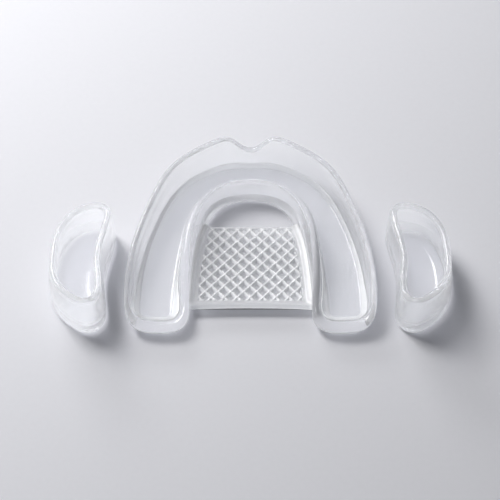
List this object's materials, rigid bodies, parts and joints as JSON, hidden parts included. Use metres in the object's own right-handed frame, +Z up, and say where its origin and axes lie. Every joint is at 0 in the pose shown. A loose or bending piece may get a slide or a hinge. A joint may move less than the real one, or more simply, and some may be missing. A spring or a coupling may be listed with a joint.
{
  "type": "sports mouthguard set",
  "caption": "Clear moulded full-arch mouthguard tray with a diamond-textured tongue plate and a mirrored pair of loose kidney-shaped molar cups.",
  "frame": {"origin": "on the resting plane, under the middle of the whole set's outline", "axes": "+Z up out of the open channel, +Y toward the front teeth (the notched rim), +X to the right when seen from the heel side"},
  "size_m": [0.099, 0.0506, 0.014],
  "materials": {
    "tray_clear": "clear, slightly frosted, soft-touch moulded elastomer",
    "liner_clear": "clear satin, softer than the tray",
    "plate_clear": "clear, raised diamond lattice",
    "cup_clear": "clear, slightly frosted, soft-touch moulded elastomer"
  },
  "bodies": {
    "guard": {"guard_tray": "tray_clear", "bite_liner": "liner_clear", "tongue_plate": "plate_clear"},
    "left_cup": {"left_molar_cup": "cup_clear"},
    "right_cup": {"right_molar_cup": "cup_clear"}
  },
  "joints": [
    {"name": "left_cup_lift", "type": "slide", "parent": "guard", "child": "left_cup", "axis": [0, 0, 1], "range_m": [0, 0.04]},
    {"name": "right_cup_lift", "type": "slide", "parent": "guard", "child": "right_cup", "axis": [0, 0, 1], "range_m": [0, 0.04]}
  ]
}
